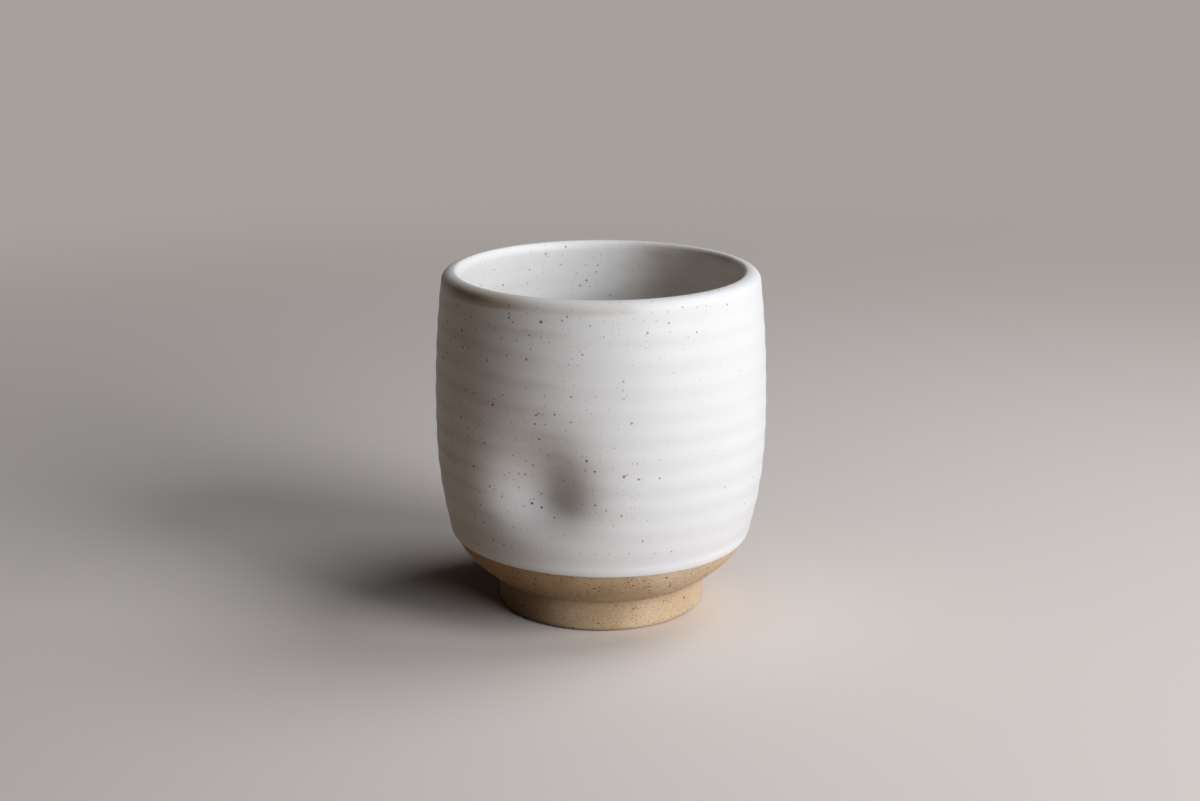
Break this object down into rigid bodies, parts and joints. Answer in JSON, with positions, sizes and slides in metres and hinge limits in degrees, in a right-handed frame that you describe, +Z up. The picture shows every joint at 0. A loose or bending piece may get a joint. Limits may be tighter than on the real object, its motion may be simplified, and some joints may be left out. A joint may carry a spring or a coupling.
{
  "type": "tea cup",
  "caption": "Tall handleless tea cup: barrel-shaped stoneware bowl on a turned foot ring, white speckled glaze outside and in, one thumb dent pressed through the wall.",
  "frame": {"origin": "under the middle of the foot, on the table", "axes": "+Z up along the axis of the wheel, -Y towards the front, -X towards the side that the dent is turned to"},
  "size_m": [0.0822, 0.0821, 0.085],
  "materials": {
    "bare_clay": "bare sandy stoneware with fine dark grains, matte",
    "foot_clay": "bare sandy stoneware, turned, with fine dark grains, matte",
    "white_glaze": "satin white glaze with scattered brown iron specks",
    "liner_glaze": "satin white glaze with scattered brown iron specks"
  },
  "bodies": {
    "root": {"clay_bowl": "bare_clay", "foot_ring": "foot_clay", "outer_glaze": "white_glaze", "liner_glaze": "liner_glaze"}
  },
  "joints": []
}
